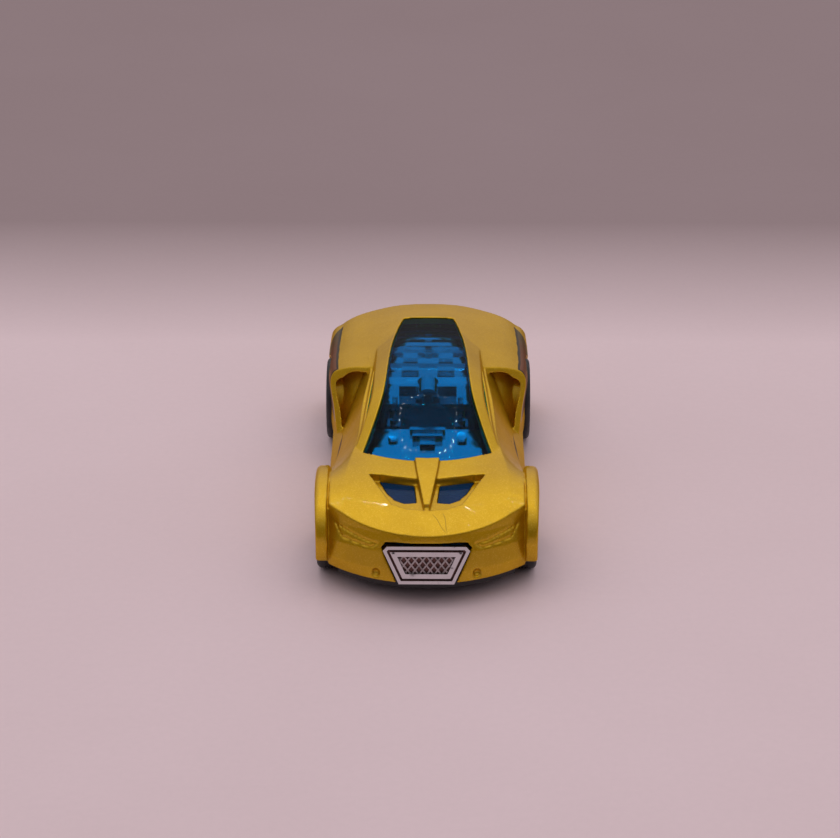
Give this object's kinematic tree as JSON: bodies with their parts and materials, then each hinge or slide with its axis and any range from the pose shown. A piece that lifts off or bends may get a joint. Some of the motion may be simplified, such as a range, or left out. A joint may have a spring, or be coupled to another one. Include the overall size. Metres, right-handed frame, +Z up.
{
  "type": "pull back car",
  "caption": "Low coupe toy car with a cast body, tinted glazing over a moulded interior and a wind-up spring motor on the rear axle.",
  "frame": {"origin": "on the ground under the middle of the car's length and width", "axes": "+X towards the driver's left, +Y towards the tail, +Z up; the nose points along -Y"},
  "size_m": [0.0318, 0.0696, 0.0193],
  "materials": {
    "pearl_paint": "pearl gold gloss",
    "blue_glazing": "clear blue tint",
    "plated_plastic": "bright plated",
    "plated_interior": "satin plated",
    "base_plastic": "satin black",
    "steel": "zinc plated",
    "case_plastic": "satin dark grey",
    "spring_steel": "blued strip",
    "plated_rim": "bright plated",
    "tyre": "satin black",
    "gear_plastic": "natural nylon"
  },
  "bodies": {
    "car": {"body_shell": "pearl_paint", "window_insert": "blue_glazing", "front_grille": "plated_plastic", "interior_tub": "plated_interior", "chassis": "base_plastic", "chassis_screws": "steel", "front_axle_retainer": "base_plastic", "motor_case_left": "case_plastic", "motor_case_right": "case_plastic", "gear_pins": "steel", "mainspring": "spring_steel"},
    "front_wheels": {"front_axle": "steel", "front_left_rim": "plated_rim", "front_left_tyre": "tyre", "front_right_rim": "plated_rim", "front_right_tyre": "tyre"},
    "rear_wheels": {"rear_axle": "steel", "rear_left_rim": "plated_rim", "rear_left_tyre": "tyre", "rear_right_rim": "plated_rim", "rear_right_tyre": "tyre", "axle_pinion": "gear_plastic"},
    "idler": {"compound_gear": "gear_plastic"},
    "drum": {"spring_drum_gear": "gear_plastic"}
  },
  "joints": [
    {"name": "front_wheels_spin", "type": "hinge", "parent": "car", "child": "front_wheels", "pos_m": [0, -0.0223, 0.0054], "axis": [1, 0, 0], "continuous": true},
    {"name": "rear_wheels_spin", "type": "hinge", "parent": "car", "child": "rear_wheels", "pos_m": [0, 0.0195, 0.0063], "axis": [1, 0, 0], "continuous": true},
    {"name": "idler_spin", "type": "hinge", "parent": "car", "child": "idler", "pos_m": [0, 0.01354, 0.00735], "axis": [1, 0, 0], "continuous": true},
    {"name": "drum_spin", "type": "hinge", "parent": "car", "child": "drum", "pos_m": [0, 0.00711, 0.0078], "axis": [1, 0, 0], "continuous": true, "deforming": ["mainspring"]}
  ],
  "couplings": [
    {"joint": "idler_spin", "follows": "rear_wheels_spin", "ratio": -0.5},
    {"joint": "drum_spin", "follows": "rear_wheels_spin", "ratio": 0.22727}
  ]
}
